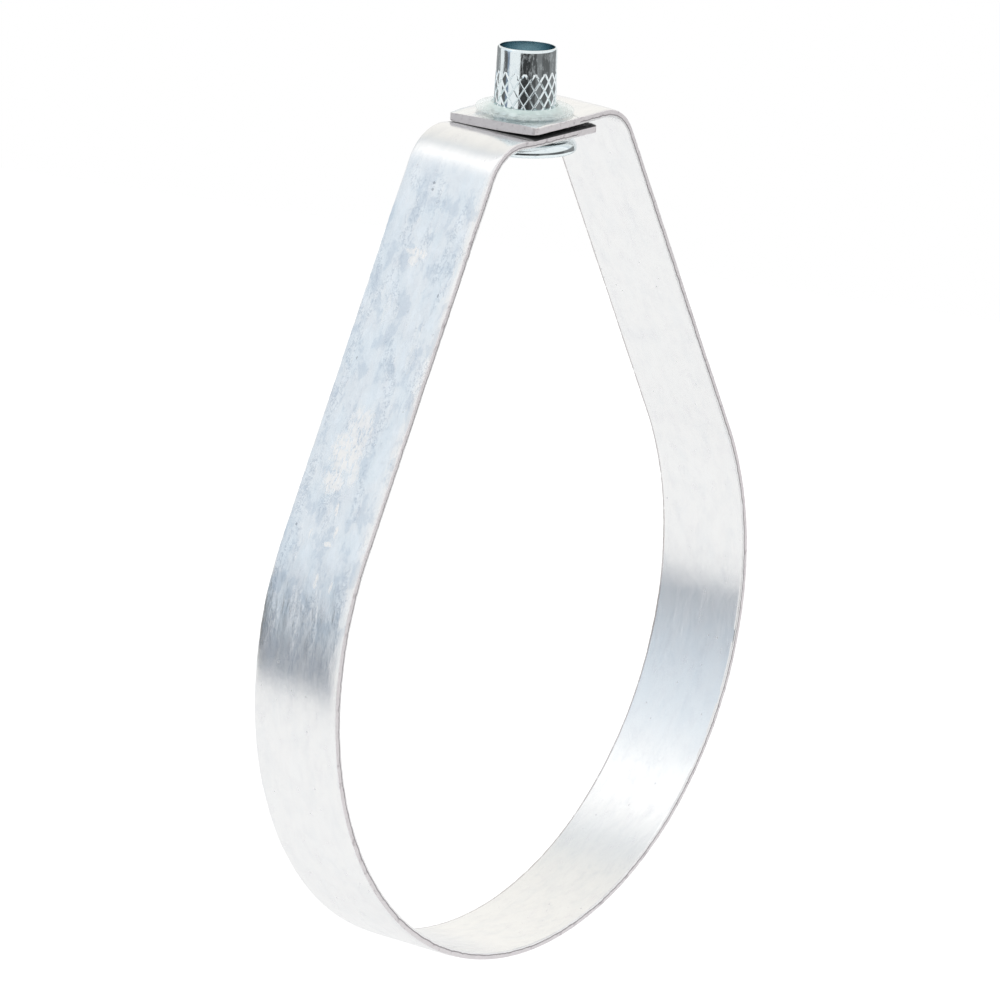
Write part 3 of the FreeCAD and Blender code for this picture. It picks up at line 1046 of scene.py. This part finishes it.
class OBJECT_OT_hanger_nut(bpy.types.Operator):
    """Turns, knurls and threads the insert nut and replaces the plain one"""

    bl_idname = "object.hanger_nut"
    bl_label = "Insert nut"

    def execute(self, context):
        nut = context.scene.hanger_nut
        outline, span, knurl_bottom = nut_outline(nut)
        piece = turned("insert_nut", outline, NUT_SEGMENTS)
        cut_thread(piece, nut, span)
        press_knurl(piece, nut, knurl_bottom)

        def inside(_, face):
            radius = from_axis(face.center)
            deep = face.center.z < NUT_HIGH[2] - 0.1 * MM
            return 1.0 if radius < nut.mouth_radius - 0.01 * MM and deep else 0.0

        def hidden(co, _):
            """Painted shade between the tabs."""
            return eased(co.z, *SHADE_IN) * (1 - eased(co.z, *SHADE_OUT))

        def groove(co, face):
            radius = from_axis(co)
            in_wall = 7.0 * MM
            if not knurl_bottom < face.center.z < nut.knurl_top or radius < in_wall:
                return 0.0
            depth = crest_radius(nut, co.z, knurl_bottom) - radius
            return clamp(depth / (0.3 * MM))

        mark_corners(piece, inside=inside, groove=groove, hidden=hidden)
        lean_nut(piece, nut)
        smooth(piece, 24)
        piece.data.materials.append(nut_material(nut))
        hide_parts("swivel_nut")
        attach(piece, "nut")
        return {"FINISHED"}


# The washer


class OBJECT_OT_hanger_washer(bpy.types.Operator):
    """Draws the soft washer up to the nut and replaces the plain one"""

    bl_idname = "object.hanger_washer"
    bl_label = "Retaining washer"

    def execute(self, context):
        washer = context.scene.hanger_washer
        nut = context.scene.hanger_nut
        radius = (WASHER_HIGH[0] - WASHER_LOW[0]) / 2
        bore = nut.body_radius + nut.knurl_height + 0.05 * MM
        base = WASHER_LOW[2] - 0.12 * MM
        thick = washer.thickness
        rim_x = radius - thick / 2
        flat_x = radius - 0.9 * MM
        angle = math.degrees(2 * math.atan((WASHER_HIGH[2] - base - thick) / (flat_x - bore)))
        curve = (flat_x - bore) / math.sin(math.radians(angle))
        centre = (flat_x, base + curve)
        outline = arc_points(centre, curve, 270 - angle, 270, 12)
        outline += arc_points((rim_x, base + thick / 2), thick / 2, -90, 90, 8)
        outline += arc_points(centre, curve - thick, 270, 270 - angle, 12)
        piece = turned("push_washer", outline, 128)
        reach = radius - bore

        def lip(co):
            return clamp(1 - (from_axis(co) - bore) / reach)

        mark_corners(piece, lip=lambda co, _: lip(co) ** 1.5)
        leant = math.tan(nut.lean) * (WASHER_HIGH[2] - LEAN_LEVEL)
        for way, direction in zip(LEAN_WAY, "XY"):
            push(piece, lip, leant * way, direction)
        smooth(piece, 40)
        piece.data.materials.append(washer_material(washer))
        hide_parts("retaining_washer")
        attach(piece, "nut")
        return {"FINISHED"}


# The studio

CAMERA_RIGHT = Vector((0.605733, -0.795668, 0.0))
CAMERA_BACK = Vector((-0.7656, -0.5828, 0.27214))
CAMERA_ROLL = 0.0630246
AIM = Vector((5.08552 * MM, 8.19763 * MM, 31.86539 * MM))
DISTANCE = 3.23323746778


def seen(graph):
    """1 for a camera ray, for a mirrored ray, and for either of them or one passed through."""
    camera, glossy, passed = (
        graph.node("LightPath", output=f"Is {kind} Ray")
        for kind in ("Camera", "Glossy", "Transmission")
    )
    return camera, glossy, camera.math("MAXIMUM", glossy).math("MAXIMUM", passed)


def make_floor(stage):
    deselect()
    bpy.ops.mesh.primitive_plane_add(
        size=1.0, location=(0.32, 0.008, stage.floor_level), rotation=(0, 0, math.radians(17.5))
    )
    floor = bpy.context.object
    floor.name = "studio_floor"
    floor.scale = (1.5, 2.0, 1)
    apply_transform()
    material, graph = new_material("studio_floor")
    plain = graph.node("BsdfDiffuse", {"Color": (0.8, 0.8, 0.8, 1.0)})
    camera, _, any_seen = seen(graph)
    glow = graph.node("Emission", {"Strength": 0.24 + camera * 0.10})
    bright = graph.node("AddShader", [plain, glow])
    both = graph.node("MixShader", [any_seen, plain, bright])
    graph.node("OutputMaterial", {"Surface": both})
    floor.data.materials.append(material)


# What polished metal mirrors of the studio. First the graded screen on the camera's left, by the
# sine of the elevation
SCREEN = (
    (-0.34, (0.20, 0.245, 0.32)),
    (-0.13, (0.23, 0.275, 0.35)),
    (-0.10, (0.365, 0.42, 0.495)),
    (-0.05, (0.455, 0.52, 0.60)),
    (0.00, (0.525, 0.60, 0.689)),
    (0.05, (0.566, 0.645, 0.734)),
    (0.10, (0.606, 0.69, 0.785)),
    (0.15, (0.641, 0.727, 0.823)),
    (0.25, (0.72, 0.795, 0.877)),
    (0.34, (0.79, 0.87, 0.945)),
    (0.42, (0.835, 0.91, 0.985)),
    (0.50, (0.913, 0.984, 1.05)),
    (0.58, (1.00, 1.047, 1.09)),
    (0.65, (1.10, 1.12, 1.14)),
    (0.70, (1.35, 1.35, 1.35)),
    (1.00, (1.35, 1.35, 1.35)),
)
# The wall behind, by the share of a half turn from the camera
BACK = (
    (0.60, (1.20, 1.20, 1.20)),
    (0.64, (1.02, 1.03, 1.04)),
    (0.665, (0.80, 0.84, 0.87)),
    (0.70, (0.82, 0.85, 0.87)),
    (0.78, (0.92, 0.92, 0.90)),
    (0.86, (1.00, 0.985, 0.95)),
    (1.00, (1.07, 1.05, 1.01)),
)
# Upright flags and panels low in the studio, by the angle from the camera towards its right
PANELS = (
    (-180, 0.95), (-168, 0.30), (-122, 0.95), (-98, 0.13), (-79, 0.97),
    (-25, 0.045), (13, 0.09), (36, 0.22), (60, 0.13), (98, 0.25), (146, 0.95),
)
BRIGHTEST = 1.4


def make_world():
    world = bpy.data.worlds.new("studio")
    bpy.context.scene.world = world
    world.use_nodes = True
    world.node_tree.nodes.clear()
    graph = Graph(world.node_tree)
    direction = graph.node("TexCoord", output=0)
    z = graph.part(direction, 2)
    level_back = Vector((CAMERA_BACK.x, CAMERA_BACK.y, 0)).normalized()
    ahead, rightward = (
        graph.node("VectorMath", [direction, tuple(axis)], output=1, operation="DOT_PRODUCT")
        for axis in (level_back, CAMERA_RIGHT)
    )
    turn = rightward.math("ARCTAN2", ahead) / math.pi
    degrees = turn * 180

    def graded(value, low, high, rows):
        stops = []
        for place, shade in rows:
            stops.append(((place - low) / (high - low), [part / BRIGHTEST for part in shade]))
        return graph.ramp((value - low) / (high - low), stops)

    screen = graded(z, SCREEN[0][0], SCREEN[-1][0], SCREEN)
    back = graded(turn.math("ABSOLUTE"), BACK[0][0], 1.0, BACK)
    stops = [((place + 180) / 360, [shade / BRIGHTEST] * 3) for place, shade in PANELS]
    panels = graph.ramp(turn * 0.5 + 0.5, stops, "CONSTANT")
    on_screen = degrees.between(-108, -98) * (1 - degrees.between(-68, -62))
    low_down = z.between(-0.42, -0.35) * (1 - z.between(0.08, 0.18))
    beside = 1 - degrees.between(-80, -78) * (1 - degrees.between(-69, -65))
    shade = graph.layers(
        [1.0 / BRIGHTEST] * 3,
        (on_screen, screen),
        (degrees.math("ABSOLUTE").between(106, 112), back),
        (low_down * beside, panels),
    )
    mirrored = graph.node("Background", {"Color": shade, "Strength": BRIGHTEST})
    plain = graph.node("Background", {"Color": (1, 1, 1, 1), "Strength": 0.62})
    white = graph.node("Background", {"Color": (1, 1, 1, 1), "Strength": 1.0})
    _, glossy, any_seen = seen(graph)
    seen_directly = graph.node("MixShader", [any_seen, plain, white])
    both = graph.node("MixShader", [glossy, seen_directly, mirrored])
    graph.node("OutputWorld", {"Surface": both})


def make_lamps():
    """One broad soft light from above and in front, and a weaker one from the left."""
    for name, strength, spread, aim in (
        ("key_light", 1.15, 40, (0.35, 0.30, -0.88)),
        ("fill_light", 0.35, 60, (0.85, 0.20, -0.45)),
    ):
        data = bpy.data.lights.new(name, "SUN")
        data.energy = strength
        data.angle = math.radians(spread)
        lamp = bpy.data.objects.new(name, data)
        bpy.context.scene.collection.objects.link(lamp)
        lamp.rotation_euler = Vector(aim).to_track_quat("-Z", "Y").to_euler()
        lamp.visible_glossy = False


def make_camera(stage):
    data = bpy.data.cameras.new("camera")
    data.sensor_width = 36.0
    data.lens = stage.lens
    data.clip_start = 0.01
    data.clip_end = 50.0
    camera = bpy.data.objects.new("camera", data)
    bpy.context.scene.collection.objects.link(camera)
    up = CAMERA_BACK.cross(CAMERA_RIGHT)
    cosine, sine = math.cos(CAMERA_ROLL), math.sin(CAMERA_ROLL)
    right = CAMERA_RIGHT * cosine + up * sine
    up = up * cosine - CAMERA_RIGHT * sine
    place = AIM + CAMERA_BACK.normalized() * DISTANCE
    matrix = Matrix((right, up, CAMERA_BACK.normalized())).transposed().to_4x4()
    matrix.translation = place
    camera.matrix_world = matrix
    bpy.context.scene.camera = camera


class OBJECT_OT_hanger_stage(bpy.types.Operator):
    """Sets up the floor, the soft studio light and the camera"""

    bl_idname = "object.hanger_stage"
    bl_label = "Studio"

    def execute(self, context):
        stage = context.scene.hanger_stage
        make_floor(stage)
        make_world()
        make_lamps()
        make_camera(stage)
        context.scene.view_settings.view_transform = "Standard"
        return {"FINISHED"}


class VIEW3D_PT_hanger(bpy.types.Panel):
    """The hanger's pieces, with their sizes and colours"""

    bl_label = "Loop pipe hanger"
    bl_idname = "VIEW3D_PT_hanger"
    bl_space_type = "VIEW_3D"
    bl_region_type = "UI"
    bl_category = "Hanger"

    def draw(self, context):
        for operator, group, name in STEPS:
            box = self.layout.box()
            box.operator(operator.bl_idname)
            for size in group.__annotations__:
                box.prop(getattr(context.scene, name), size)


STEPS = (
    (OBJECT_OT_hanger_stage, HangerStage, "hanger_stage"),
    (OBJECT_OT_hanger_band, HangerBand, "hanger_band"),
    (OBJECT_OT_hanger_nut, HangerNut, "hanger_nut"),
    (OBJECT_OT_hanger_washer, HangerWasher, "hanger_washer"),
)


def register():
    for operator, group, name in STEPS:
        bpy.utils.register_class(group)
        setattr(bpy.types.Scene, name, bpy.props.PointerProperty(type=group))
        bpy.utils.register_class(operator)
    bpy.utils.register_class(VIEW3D_PT_hanger)


def unregister():
    bpy.utils.unregister_class(VIEW3D_PT_hanger)
    for operator, group, name in STEPS:
        bpy.utils.unregister_class(operator)
        delattr(bpy.types.Scene, name)
        bpy.utils.unregister_class(group)


def main():
    register()
    for _, _, name in STEPS:
        getattr(bpy.ops.object, name)()


if __name__ == "__main__":
    main()
